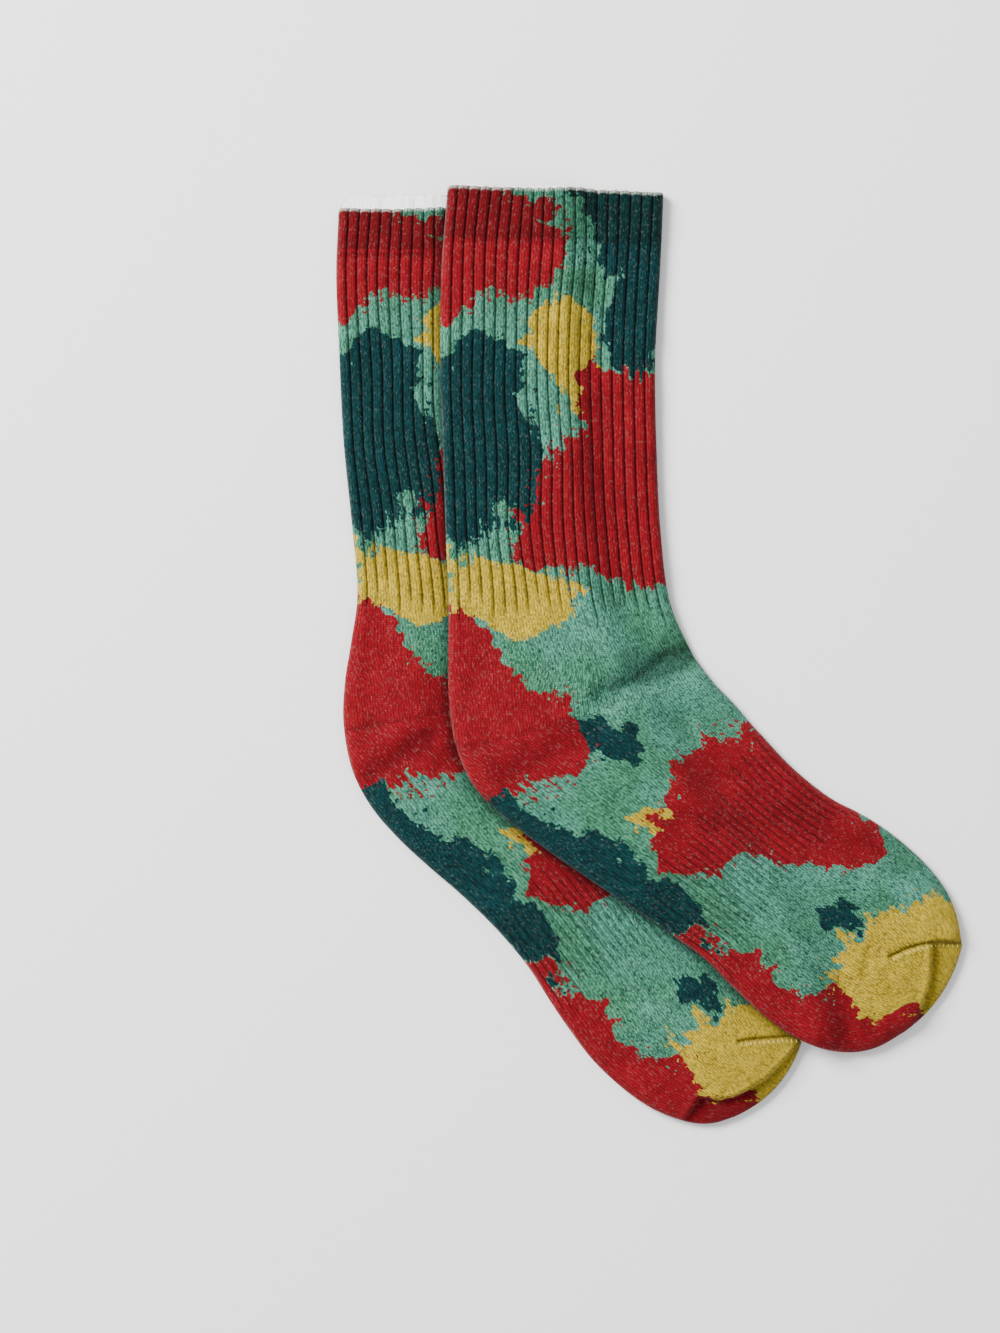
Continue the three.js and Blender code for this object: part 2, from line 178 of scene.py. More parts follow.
LOWER_SECTIONS = np.array([
    [-127.7, 187.8, -39.6, 188.2, 0, 0],
    [-128.7, 157.4, -40.4, 157.4, 0, 0],
    [-127.4, 122.6, -40.8, 122.6, 0, 0],
    [-125.7, 87.7, -39.2, 88.6, 0, 0],
    [-122.4, 54.9, -35.5, 56.6, 0, 0],
    [-119.9, 26.2, -31.4, 28.3, 0, 0.6],
    [-122.4, 5.7, -25.2, 9.8, 0, 1.4],
    [-125.0, -10.7, -20.3, -0.8, 0, 2.0],
    [-125.7, -27.9, -15.8, -9.0, 0, 2.3],
    [-122.4, -46.7, -11.3, -17.6, 0, 2.4],
    [-114.6, -62.3, -7.2, -25.4, 0, 2.3],
    [-103.5, -75.4, -3.5, -32.8, 0, 2.0],
    [-91.2, -86.9, 0.2, -40.2, 0, 1.8],
    [-78.5, -97.8, 3.9, -47.6, 0, 1.5],
    [-66.2, -109.5, 8.4, -55.8, 0, 1.0],
    [-57.2, -119.3, 15.4, -66.0, 0, 0.8],
    [-49.0, -129.6, 23.2, -75.4, 0, 0.9],
    [-41.2, -141.9, 31.8, -85.3, 0, 1.4],
    [-32.6, -154.6, 40.8, -96.8, 0, 2.0],
    [-22.8, -167.3, 48.6, -108.2, 0, 2.4],
    [-10.0, -179.2, 54.7, -120.5, 0, 2.5],
    [2.3, -187.4, 59.2, -132.8, 0, 2.5],
    [15.8, -192.3, 62.3, -144.3, 1.2, 2.3],
    [26.0, -192.9, 63.5, -150.5, 3.2, 1.8],
    [35.1, -190.2, 63.5, -156.6, 5.3, 1.0],
])

# Creases (depth above 0) and soft ridges (below 0): x1, y1, x2, y2, depth, width.
UPPER_FOLDS = [
    [20.7, 0.8, -21.1, -17.6, 2.6, 9],
    [17.5, -0.5, 7.5, -4.5, 0.9, 1.8],
    [2.0, -6.5, -14.0, -14.5, 0.5, 2.6],
    [22.5, 6.0, -4.0, -5.0, 1.2, 13],
    [12.0, 18.0, -16.0, 7.0, -0.5, 12],
    [24.0, -13.0, -8.0, -27.0, -0.7, 13],
    [-24.4, -30.3, -56.4, -50.8, 1.2, 11],
    [-30.5, -22.8, -61.3, -38.2, -0.6, 9],
    [-38.0, 14.0, -30.0, -8.0, 0.4, 9],
    [-62.0, 12.0, -70.0, -14.0, 0.35, 8],
    [13.3, -66.0, 25.6, -70.5, 0.7, 6],
    [63.3, -68.1, 102.3, -86.1, 0.9, 16],
    [55.0, -86.0, 92.0, -103.0, -0.4, 16],
    [32.0, -112.0, 62.0, -131.0, 0.5, 12],
    [90.4, -120.5, 87.9, -130.4, 0.8, 4],
    [94.5, -121.0, 93.0, -127.0, 0.5, 2.4],
    [97.0, -133.0, 104.0, -139.0, 0.4, 4],
    [99.0, -146.0, 92.0, -152.0, 0.4, 4],
]
LOWER_FOLDS = [
    [-89.6, -34.9, -113.8, -50.8, 1.8, 9],
    [-92.0, -26.9, -110.5, -36.3, -0.6, 8],
    [-60.0, -28.0, -84.0, -44.0, 0.9, 10],
    [-20.0, -108.0, 2.0, -128.0, 0.5, 12],
    [25.2, -176.7, 21.9, -179.6, 0.5, 2.4],
    [44.9, -178.4, 40.8, -182.5, 0.5, 2.4],
    [33.0, -176.5, 30.5, -180.5, 0.4, 2.2],
]
FOLD_BEND = 0.25
FOLD_BEND_SIZE, FOLD_BEND_LEAST = 2.5, 8.0  # for each millimetre of width, and at least
CREASE_SHADE = 0.26  # painted shade: how much darker a crease is painted for each millimetre of depth
CREASE_SHADE_FRONT = 0.5  # how much more so where it reaches the front edge
FRONT_START, FRONT_FADE = 0.6, 0.35
# Painted shade on the inside surface, as a share of that on the outside.
INSIDE_SHADE = 0.5

# Points along the toe seams, and along the folded edges of the top layer beyond them, with
# that layer on the left.
UPPER_SEAM = [[98.4, -124.0], [104.5, -120.9], [111.5, -118.9], [119.0, -118.0], [127.6, -118.6]]
LOWER_SEAM = [[36.6, -158.6], [42.0, -157.9], [49.0, -157.4], [56.0, -157.1], [63.0, -157.2]]
UPPER_TOE_FOLD = [
    [108.0, -156.0], [112.1, -145.5], [115.8, -134.1], [116.4, -127.5], [116.6, -118.9],
    [134.0, -118.9],
]
LOWER_TOE_FOLD = [
    [12.0, -196.0], [21.1, -182.4], [28.5, -183.3], [35.9, -182.0], [48.2, -174.7],
    [61.0, -161.5], [72.0, -157.4],
]


# Curves and distances
def smooth(x):
    t = np.clip(x, 0, 1)
    return t * t * (3 - 2 * t)


def bell(x):
    return np.exp(-x * x)


def dome(across):
    """1 at the middle of a section and 0 at its edges."""
    return 4 * across * (1 - across)


def rise(distance, radius):
    """0 at an edge and 1 past its rounding."""
    left = 1 - np.clip(distance / radius, 0, 1)
    return np.sqrt(1 - left * left)


def softly_above(value, least, softness):
    return least + softness * np.logaddexp(0, (value - least) / softness)


def swell(p, size, seed):
    """Smooth unevenness of about that size across, with a spread of about 0.7."""
    random = np.random.default_rng(seed)
    angle = random.uniform(0, 2 * np.pi, SWELL_WAVES)
    count = 2 * np.pi / size * random.uniform(*WAVE_SPREAD, SWELL_WAVES)
    phase = random.uniform(0, 2 * np.pi, SWELL_WAVES)
    k = np.stack([np.cos(angle), np.sin(angle)]) * count
    return np.cos(p @ k + phase).sum(-1) / np.sqrt(SWELL_WAVES)


def catmull_rom(points, share):
    last = len(points) - 1
    i = np.clip(np.floor(share).astype(int), 0, last - 1)
    t = (share - i)[..., None]
    ends = np.vstack([2 * points[0] - points[1], points, 2 * points[-1] - points[-2]])
    p0, p1, p2, p3 = (ends[i + k] for k in range(4))
    m1, m2 = (p2 - p0) / 2, (p3 - p1) / 2
    cubic = (2 * p1 - 2 * p2 + m1 + m2) * t**3
    return cubic + (3 * p2 - 3 * p1 - 2 * m1 - m2) * t**2 + m1 * t + p1


def chain_distance(p, chain, batch=4096):
    """Distance from each point to a chain, positive on the left of its direction."""
    chain = np.asarray(chain, float)
    a, along = chain[:-1], np.diff(chain, axis=0)
    square = (along**2).sum(-1)
    flat = p.reshape(-1, 2)
    out = np.empty(len(flat))
    for i in range(0, len(flat), batch):
        q = flat[i : i + batch, None, :] - a
        t = np.clip((q * along).sum(-1) / square, 0, 1)
        off = q - along * t[..., None]
        distance = np.hypot(off[..., 0], off[..., 1])
        k = distance.argmin(1)
        row = np.arange(len(k))
        cross = along[k, 0] * q[row, k, 1] - along[k, 1] * q[row, k, 0]
        out[i : i + batch] = distance[row, k] * np.where(cross < 0, -1, 1)
    return out.reshape(p.shape[:-1])


class Plan:
    """The flat plan of a sock. A station counts rows of its table of sections."""

    OUTLINE_STEPS = 6
    FINE_STEPS = 40
    END_POINTS = 9

    def __init__(self, sections):
        self.back, self.front = sections[:, 0:2], sections[:, 2:4]
        self.bow, self.puff = sections[:, 4], sections[:, 5]
        self.last = len(sections) - 1
        stations = np.linspace(0, self.last, self.last * self.OUTLINE_STEPS + 1)
        toe_end = np.full(self.END_POINTS, float(self.last))
        self.outline = np.vstack([
            self.at(stations, np.zeros(1)),
            self.at(toe_end, np.linspace(0, 1, self.END_POINTS + 2)[1:-1]),
            self.at(stations[::-1], np.ones(1)),
        ])
        self.fine = np.linspace(0, self.last, self.last * self.FINE_STEPS + 1)
        middle = self.at(self.fine, np.full(1, 0.5))
        steps = np.hypot(*np.diff(middle, axis=0).T)
        self.run = np.concatenate([[0], np.cumsum(steps)])

    def between(self, column, station):
        return np.interp(station, np.arange(self.last + 1), column)

    def at(self, station, across):
        station, across = np.broadcast_arrays(station, across)
        a, b = catmull_rom(self.back, station), catmull_rom(self.front, station)
        chord = b - a
        ahead = np.stack([chord[..., 1], -chord[..., 0]], -1)
        ahead /= np.linalg.norm(ahead, axis=-1, keepdims=True)
        bulge = self.between(self.bow, station) * dome(across)
        return a + chord * across[..., None] + ahead * bulge[..., None]

    def width(self, station):
        return np.linalg.norm(self.at(station, 1.0) - self.at(station, 0.0), axis=-1)

    def length_to(self, station):
        return np.interp(station, self.fine, self.run)

    def station_at(self, length):
        return np.interp(length, self.run, self.fine)

    def beyond(self, p):
        """Distance out from the sock to a point beside it or past its mouth, 0 on the sock."""
        rim = self.at(np.zeros(2), np.array([1.0, 0.0]))
        past = chain_distance(p, rim)
        edge = chain_distance(p, self.outline)
        outside = np.maximum(0, -edge)
        return np.where(past < 0, np.minimum(np.abs(edge), np.abs(past)), outside)


# Columns of the grid, at the same places in every rib
LEG_STEPS = [0, 0.06, 0.12, 0.20, 0.38, 0.62, 0.80, 0.88, 0.94]
ARCH_STEPS = [0, 0.13, 0.30, 0.50, 0.70, 0.87]


def across_shares(ribs, steps):
    inner = [(rib + np.array(steps)) / ribs for rib in range(ribs)]
    return np.append(np.concatenate(inner), 1.0)


LEG_ACROSS = across_shares(LEG_RIBS, LEG_STEPS)
ARCH_ACROSS = across_shares(ARCH_RIBS, ARCH_STEPS)
COLUMNS = len(LEG_ACROSS)

# The lower layer has fewer columns: all near its edges, and every fourth between.
NEAR_EDGE, BETWEEN = [0, 1, 2, 3, 4, 6, 8, 12], 4
UNDER = np.array([
    *NEAR_EDGE,
    *range(NEAR_EDGE[-1] + BETWEEN, COLUMNS - 1 - NEAR_EDGE[-1], BETWEEN),
    *[COLUMNS - 1 - k for k in reversed(NEAR_EDGE)],
])

# The columns change from the leg's places to the arch's between these stations.
COLUMN_CHANGE, COLUMN_CHANGE_LENGTH = 5.2, 1.2

# Rows of the outside: their spacing at stations on the way, and the last ones to the toe.
ROW_STATIONS = [0, 4.5, 5.5, 13, 19, 20.5, 24]
ROW_SPACING = [1.5, 1.5, 1.15, 1.15, 1.1, 0.72, 0.6]
FIRST_ROWS = [0.0, 0.3, 0.8, 1.5, 2.4]
LAST_ROWS = [6.0, 5.4, 4.8, 4.2, 3.6, 3.0, 2.4, 1.9, 1.4, 1.0, 0.65, 0.35, 0.14, 0.0]

# Rows of the hollow, which stops short of the toe.
HOLLOW_FIRST_ROWS = [0.0, 0.8, 2.0]
HOLLOW_ROWS = 56
HOLLOW_END = 0.35


def outside_stations(plan):
    total = plan.run[-1]
    lengths = list(FIRST_ROWS)
    while lengths[-1] < total - LAST_ROWS[0] - ROW_SPACING[-1]:
        here = plan.station_at(lengths[-1])
        lengths.append(lengths[-1] + float(np.interp(here, ROW_STATIONS, ROW_SPACING)))
    return plan.station_at(np.array([*lengths, *(total - np.array(LAST_ROWS))]))


def hollow_stations(plan):
    total = plan.length_to(plan.last - HOLLOW_END)
    rest = np.linspace(2 * HOLLOW_FIRST_ROWS[-1], total, HOLLOW_ROWS)
    return plan.station_at(np.concatenate([HOLLOW_FIRST_ROWS, rest]))


# Relief of the top layer
def grooves(across, ribs, width, edge_ribs):
    """The nearest groove, how far off it is as a share of a rib, and its relief from 0 to 1."""
    nearest = np.clip(np.round(across * ribs).astype(int), 0, ribs)
    off = np.abs((across * ribs + 0.5) % 1 - 0.5)
    inside = smooth(np.minimum(across, 1 - across) * ribs / edge_ribs)
    return nearest, off, bell(off / width) * inside


def rib_relief(across, station, seed):
    """How deep the grooves between ribs are at each point, and how strongly painted shade fills
    them.
    """
    random = np.random.default_rng(seed)
    nearest, off, leg = grooves(across, LEG_RIBS, LEG_GROOVE_WIDTH, LEG_EDGE_RIBS)
    ends = random.uniform(*LEG_END_SPREAD, LEG_RIBS + 1)
    in_leg = 1 - smooth((station - LEG_END - ends[nearest]) / LEG_END_FADE)
    leg = leg * in_leg
    rounding = (off * 2) ** 2 * in_leg

    nearest, _, arch = grooves(across, ARCH_RIBS, ARCH_GROOVE_WIDTH, ARCH_EDGE_RIBS)
    ends = random.uniform(*ARCH_END_SPREAD, (2, ARCH_RIBS + 1))
    begun = smooth((station - ARCH_START - ends[0][nearest]) / ARCH_END_FADE)
    ended = smooth((station - ARCH_END - ends[1][nearest]) / ARCH_END_FADE)
    arch = arch * begun * (1 - ended)
    depth = LEG_GROOVE * leg - LEG_DOME * rounding + ARCH_GROOVE * arch
    return depth, np.clip(leg + arch, 0, 1)


def fold_depth(p, folds, seed):
    """Depth of the creases, each bent a little from its straight run."""
    depth = np.zeros(p.shape[:-1])
    for n, (x1, y1, x2, y2, deep, width) in enumerate(folds):
        bend = FOLD_BEND * swell(p, FOLD_BEND_SIZE * width + FOLD_BEND_LEAST, seed + n)
        off = np.abs(chain_distance(p, [[x1, y1], [x2, y2]])) / (width / 2)
        depth += deep * bell(off + bend)
    return depth


class Sock:
    """A flattened tube on its plan. support is the height of what lies below a point, and free
    the share of its puff that nothing presses flat."""

    def __init__(self, sections, folds, seam, toe_fold, setback, seed, support, free):
        self.plan = Plan(sections)
        self.folds, self.seam, self.toe_fold = folds, seam, toe_fold
        self.setback, self.seed = setback, seed
        self.support, self.free = support, free

    def across(self, station):
        """Shares of the grid's columns: on the ribs' grooves in the leg and in the arch."""
        leg = 1 - smooth((station - COLUMN_CHANGE) / COLUMN_CHANGE_LENGTH)[:, None]
        return leg * LEG_ACROSS + (1 - leg) * ARCH_ACROSS

    def point(self, station, across):
        """Place on the plan, where the ribs stray a little to the side."""
        p = self.plan.at(station, across)
        stray = WANDER * swell(p, WANDER_SIZE, self.seed + WANDER_SEED) * dome(across)
        return self.plan.at(station, across + stray / self.plan.width(station))

    def puff(self, p, station, across):
        return self.plan.between(self.plan.puff, station) * dome(across) * self.free(p)

    def uneven(self, p):
        first = self.seed + SWELL_SEED
        heights = [high * swell(p, size, first + n) for n, (size, high) in enumerate(SWELLS)]
        return sum(heights) * self.free(p)

    def relief(self, p, station, across):
        """Height of the upper layer with its ribs and creases, and the painted shade laid into
        its grooves, creases, welt line and gore line.
        """
        run = self.plan.length_to(station) - WELT_LENGTH
        below_welt = smooth(run / WELT_STEP_LENGTH + 0.5)
        line = bell(run / WELT_LINE_WIDTH)
        groove, groove_dark = rib_relief(across, station, self.seed)
        crease = fold_depth(p, self.folds, self.seed)
        height = HEIGHT - WELT_STEP * below_welt - WELT_LINE * line - groove - crease
        height = height + self.uneven(p) + self.puff(p, station, across)
        height = softly_above(height, LEAST_HEIGHT, LEAST_HEIGHT_SOFTNESS)

        half = 1 - smooth((across - GORE_REACH) / GORE_FADE)
        gore = bell((station - MITRE_STATION) / GORE_WIDTH) * half
        # Painted shade in the rib grooves, along the welt and gore lines and in the creases,
        # strongest where a crease reaches the front edge.
        lines = np.clip(groove_dark + WELT_LINE_SHADE * line + GORE_SHADE * gore, 0, 1)
        front = smooth((across - FRONT_START) / FRONT_FADE)
        shade = CREASE_SHADE * (1 + CREASE_SHADE_FRONT * front)
        dark = GROOVE_SHADE * lines + shade * np.maximum(crease, 0)
        return height - GORE_DEPTH * gore, dark

    def top(self, p, station, across):
        """The same with the toe's seam and fold, without the rounded edges, and with painted
        shade under the toe's fold, in the seam and on the lower sock beside the upper one.
        """
        height, dark = self.relief(p, station, across)
        seam = chain_distance(p, self.seam)
        height = height - SEAM_DEPTH * bell(seam / SEAM_WIDTH)
        height = height - SEAM_DIP * bell(seam / SEAM_DIP_WIDTH)
        height = height + SEAM_LIP * bell((seam + SEAM_LIP_PLACE) / SEAM_LIP_WIDTH)

        edge = chain_distance(p, self.toe_fold)
        in_toe = station > TOE_STATION
        kept = np.where(in_toe, rise(edge, TOE_FOLD_WIDTH), 1.0)
        below_seam = smooth(-seam / TOE_RIDGE_START) * in_toe
        ridge = bell((edge - TOE_RIDGE_PLACE) / TOE_RIDGE_WIDTH)
        height = height + TOE_RIDGE * ridge * below_seam
        height = TOE_LAYER + (height - TOE_LAYER) * kept

        # Painted shade on the strip below the toe's fold, on the lower sock beside the upper one,
        # and in the sunk seam.
        dark = dark + TOE_FOLD_SHADE * (1 - kept)
        dark = dark + CONTACT_SHADE * (1 - self.free(p)) ** CONTACT_FALL
        dark = np.maximum(dark, bell(seam / SEAM_SHADE_WIDTH))
        return height, np.clip(dark, 0, 1)

    def rim_shift(self, station, across, upper):
        """How far a layer's rim lies back, with its ribs' tops standing a little proud."""
        random = np.random.default_rng(self.seed + int(upper))
        uneven = random.uniform(-RIM_UNEVEN, RIM_UNEVEN, LEG_RIBS + 1)
        wave = np.interp(across * LEG_RIBS, np.arange(LEG_RIBS + 1), uneven)
        wave = wave + RIM_SCALLOP * np.cos(across * LEG_RIBS * 2 * np.pi)
        wave = wave + RIM_WAVE * np.sin(across * RIM_WAVES + self.seed)
        reach = self.plan.width(0.0) * np.minimum(across, 1 - across)
        level = np.ones_like(reach) if upper else 1 - smooth(reach / RIM_CURVE)
        back = self.setback * level + wave * smooth(reach / RIM_CORNER)
        return back * (1 - smooth(station / RIM_FADE_STATION))

    def ring(self, stations, inside):
        """Points of the upper and the lower half of one surface, with what lies at them."""
        across = self.across(stations)
        station = np.broadcast_to(stations[:, None], across.shape)
        if inside:
            inset = (WALL / self.plan.width(stations))[:, None]
            across = inset + across * (1 - 2 * inset)
        p = self.point(station, across)
        edge = chain_distance(p, self.plan.outline)
        top, dark = self.top(p, station, across)
        puff = self.puff(p, station, across)
        if inside:
            puff = puff * (1 - smooth((station - TOE_STATION) / TOE_FILL))
            room = np.minimum(HOLLOW + puff, top - LEAST_WALL - WALL)
            half = np.maximum(LEAST_HOLLOW, room) / 2
            opened = np.maximum(rise(edge - WALL, FOLD_RADIUS) * half, LEAST_OPENING)
            z_top, z_low = WALL + half + opened, WALL + half - opened
            pale = np.zeros_like(edge)
        else:
            wider = PUFF_RADIUS * self.plan.between(self.plan.puff, station) * self.free(p)
            z_top = FOLD_HEIGHT + (top - FOLD_HEIGHT) * rise(edge, FOLD_RADIUS + wider)
            z_low = FOLD_HEIGHT * (1 - rise(edge, FOLD_RADIUS))
            pale = bell(edge / PALE_EDGE)
        ground = self.support(p)
        halves = []
        for upper, z in ((True, z_top), (False, z_low)):
            y = p[..., 1] - self.rim_shift(station, across, upper)
            halves.append(np.stack([p[..., 0], y, z + ground], -1))
        halves[1][:, 0], halves[1][:, -1] = halves[0][:, 0], halves[0][:, -1]
        return {
            "upper": halves[0],
            "lower": halves[1][:, UNDER],
            "station": station,
            "across": across,
            "dark": dark * INSIDE_SHADE if inside else dark,
            "pale": pale,
        }


# Knitted stitches on a sock
def affine_fit(p, target):
    source = np.c_[p.reshape(-1, 2), np.ones(p.size // 2)]
    return np.linalg.lstsq(source, target.reshape(-1, target.shape[-1]), rcond=None)[0]


def fan_counts(plan, station, across):
    spread = SOLE_SPREAD * smooth((station - LEG_END) / SPREAD_START)
    wale = (across - spread * dome(across)) * WALES
    return np.stack([wale, plan.length_to(station) / COURSE], -1)


def knit_frames(plan):
    """Straight wale and course counts that carry on from the leg and from the foot."""
    frames = []
    for run in (LEG_RUN, FOOT_RUN):
        stations = np.linspace(*run, RUN_SAMPLES)
        s, a = np.meshgrid(stations, np.linspace(0, RUN_REACH, RUN_SAMPLES))
        frames.append(affine_fit(plan.at(s, a), fan_counts(plan, s, a)))
    return frames


def knit_counts(plan, frames, s, a, below):
    """Wales and courses at each point; below says which side of the heel's mitre is meant."""
    p = plan.at(s, a)
    fan = fan_counts(plan, s, a)
    straight = np.concatenate([p, np.ones((*p.shape[:-1], 1))], -1) @ frames[int(below)]
    if below:
        toward = smooth((FOOT_RUN_START - s) / FOOT_RUN_FADE)
    else:
        toward = smooth((s - LEG_RUN_END) / LEG_RUN_FADE)
    weight = (smooth((RUN_SIDE - a) / RUN_SIDE_FADE) * toward)[..., None]
    return fan * (1 - weight) + straight * weight


# Mesh of a sock: rows of points from the hollow's far end, over the rim and on to the toe
def rim_rows(inner, outer):
    middle, half = (inner + outer) / 2, (outer - inner) / 2
    rows = []
    for turn in RIM_ANGLES:
        angle = turn * math.pi
        out = np.array([0, RIM_REACH * math.sin(angle), 0])
        rows.append(middle + half * math.cos(angle) + out)
    return np.array(rows)


def sock_rows(sock):
    """All rows, and how many of them are inside."""
    inner = sock.ring(hollow_stations(sock.plan)[::-1], True)
    outer = sock.ring(outside_stations(sock.plan), False)
    rows = {}
    for key in outer:
        if key in ("upper", "lower"):
            rim = rim_rows(inner[key][-1], outer[key][0])
        else:
            rim = np.repeat(outer[key][:1], len(RIM_ANGLES), 0)
        rows[key] = np.concatenate([inner[key], rim, outer[key]])
    return rows, len(inner["station"])


def number_points(rows):
    """Every row's upper points are numbered first, then the lower ones between the edges."""
    top = np.arange(rows * COLUMNS).reshape(rows, COLUMNS)
    low = np.empty((rows, len(UNDER)), int)
    between = len(UNDER) - 2
    low[:, 1:-1] = rows * COLUMNS + np.arange(rows * between).reshape(rows, between)
    low[:, 0], low[:, -1] = top[:, 0], top[:, -1]
    return top, low


def sock_faces(rows):
    """Faces between the rows, with the row of each. Both ends are closed."""
    top, low = number_points(rows)
    upper = np.stack([top[:-1, :-1], top[1:, :-1], top[1:, 1:], top[:-1, 1:]], -1)
    lower = np.stack([low[:-2, :-1], low[:-2, 1:], low[1:-1, 1:], low[1:-1, :-1]], -1)
    faces = upper.reshape(-1, 4).tolist() + lower.reshape(-1, 4).tolist()
    face_row = np.repeat(np.arange(rows - 1), COLUMNS - 1).tolist()
    face_row += np.repeat(np.arange(rows - 2), len(UNDER) - 1).tolist()
    for j in range(len(UNDER) - 1):
        span = slice(UNDER[j], UNDER[j + 1] + 1)
        faces.append([*low[-2, j : j + 2].tolist(), *top[-1, span][::-1].tolist()])
        face_row.append(rows - 2)
        ends = [k for k in low[0, j : j + 2][::-1].tolist() if k >= rows * COLUMNS]
        faces.append([*top[0, span].tolist(), *ends])
        face_row.append(0)
    return faces, np.array(face_row)


def set_attribute(mesh, name, values):
    values = np.asarray(values, np.float32)
    if values.ndim == 1:
        mesh.attributes.new(name, "FLOAT", "POINT").data.foreach_set("value", values)
        return
    flat = np.c_[values, np.zeros(len(values), np.float32)]
    mesh.attributes.new(name, "FLOAT_VECTOR", "POINT").data.foreach_set("vector", flat.ravel())


def add_knit_map(mesh, plan, s, a, sizes):
    """Wale and course counts for each corner, which jump at the heel's mitre."""
    corner = np.zeros(len(mesh.loops), np.int32)
    mesh.loops.foreach_get("vertex_index", corner)
    starts = np.concatenate([[0], np.cumsum(sizes)[:-1]])
    face_station = np.add.reduceat(s[corner], starts) / sizes
    frames = knit_frames(plan)
    above, below = (knit_counts(plan, frames, s, a, side)[corner] for side in (False, True))
    past = np.repeat(face_station > MITRE_STATION, sizes)
    counts = np.where(past[:, None], below, above)
    mesh.uv_layers.new(name="knit").uv.foreach_set("vector", counts.astype(np.float32).ravel())


UNDERSIDE_DRIFT = np.array([26.0, 40.0])  # how far the underside's dye lies from the top's
UNDERSIDE_START = 1 / 3.2  # share of the width over which it drifts away
GRAIN_STEP = 0.05  # stations either side of a point that give its grain


def add_dye_place(mesh, reference, s, a, under):
    """Where each point lies on the sock that carries the dye's layout, and its wale there."""
    ahead = reference.at(np.minimum(s + GRAIN_STEP, reference.last), a)
    grain = ahead - reference.at(np.maximum(s - GRAIN_STEP, 0), a)
    grain /= np.linalg.norm(grain, axis=-1, keepdims=True)
    drift = smooth(np.minimum(a, 1 - a) / UNDERSIDE_START) * under
    set_attribute(mesh, "place", reference.at(s, a) + drift[:, None] * UNDERSIDE_DRIFT)
    set_attribute(mesh, "grain", grain)


def new_object(name, mesh, materials):
    for material in materials:
        mesh.materials.append(material)
    piece = bpy.data.objects.new(name, mesh)
    bpy.context.scene.collection.objects.link(piece)
    return piece


def build_sock(name, sock, reference, materials, shift):
    """The piece, and the points of its outer upper surface in millimetres."""
    rows, inside = sock_rows(sock)
    count = len(rows["upper"])
    kept = count * COLUMNS + (count - 1) * (len(UNDER) - 2)

    def per_vertex(key):
        values = rows[key]
        low = rows["lower"][:, 1:-1] if key == "upper" else values[:, UNDER[1:-1]]
        shape = (-1, *values.shape[2:])
        return np.concatenate([values.reshape(shape), low.reshape(shape)])[:kept]

    points = per_vertex("upper") + shift
    faces, face_row = sock_faces(count)
    mesh = bpy.data.meshes.new(name)
    mesh.from_pydata((points * MM).tolist(), [], faces)
    piece = new_object(name, mesh, materials)
    white = face_row < inside + RIM_WHITE_ROWS
    mesh.polygons.foreach_set("material_index", white.astype(np.int32))
    mesh.polygons.foreach_set("use_smooth", np.ones(len(faces), bool))

    s, a = per_vertex("station"), per_vertex("across")
    add_knit_map(mesh, sock.plan, s, a, np.array([len(face) for face in faces]))
    under = (np.arange(kept) >= count * COLUMNS).astype(float)
    add_dye_place(mesh, reference, s, a, under)
    # The groove attribute carries painted shade: grooves, creases, the toe's fold, the seam and
    # beside the upper sock.
    set_attribute(mesh, "groove", per_vertex("dark"))
    set_attribute(mesh, "thin_dye", per_vertex("pale"))
    set_attribute(mesh, "station", s)
    mesh.update()
    return piece, rows["upper"][inside:].reshape(-1, 3) + shift


# Thread stitches that close the toe seam
THREAD_RADIUS = 0.24
THREAD_SIDES = 6
THREAD_STEPS = 6
THREAD_SPACING = 1.9
THREAD_HALF = 0.85
THREAD_OFFSET = 1.5  # from the seam line to the stitches' middles, towards the toe
THREAD_SLANT, SLANT_SPREAD = 0.25, (0.6, 1.4)
HALF_SPREAD = (0.8, 1.15)
THREAD_PROUD = 0.10
THREAD_DIP = 0.45  # how far its ends go down into the cloth
THREAD_TAPER = 0.8


def chain_places(chain, spacing):
    """Points along a chain at that spacing, with its direction at each."""
    chain = np.asarray(chain, float)
    steps = np.hypot(*np.diff(chain, axis=0).T)
    run = np.concatenate([[0], np.cumsum(steps)])
    for length in np.arange(spacing / 2, run[-1] - spacing / 4, spacing):
        k = min(np.searchsorted(run, length) - 1, len(steps) - 1)
        along = (chain[k + 1] - chain[k]) / steps[k]
        yield chain[k] + along * (length - run[k]), along


def thread_loop(middle, along, surface, random):
    """Rings of points along one stitch, which dips into the cloth at both ends."""
    across = np.array([along[1], -along[0]])
    lean = along * THREAD_SLANT * random.uniform(*SLANT_SPREAD)
    half = THREAD_HALF * random.uniform(*HALF_SPREAD)
    rings = []
    for t in np.linspace(-1, 1, THREAD_STEPS):
        p = middle + (across + lean) * half * t
        nearest = np.hypot(surface[:, 0] - p[0], surface[:, 1] - p[1]).argmin()
        z = surface[nearest, 2] + THREAD_PROUD - THREAD_DIP * t**4
        radius = THREAD_RADIUS * math.sqrt(1 - THREAD_TAPER * t * t)
        for side in range(THREAD_SIDES):
            turn = 2 * math.pi * side / THREAD_SIDES
            sideways = along * radius * math.cos(turn)
            rings.append([*(p + sideways), z + radius * math.sin(turn)])
    return rings


def thread_faces(first):
    faces = []
    for step in range(THREAD_STEPS - 1):
        for side in range(THREAD_SIDES):
            a = first + step * THREAD_SIDES + side
            b = first + step * THREAD_SIDES + (side + 1) % THREAD_SIDES
            faces.append([a, b, b + THREAD_SIDES, a + THREAD_SIDES])
    last = first + (THREAD_STEPS - 1) * THREAD_SIDES
    faces.append([first + side for side in reversed(range(THREAD_SIDES))])
    faces.append([last + side for side in range(THREAD_SIDES)])
    return faces


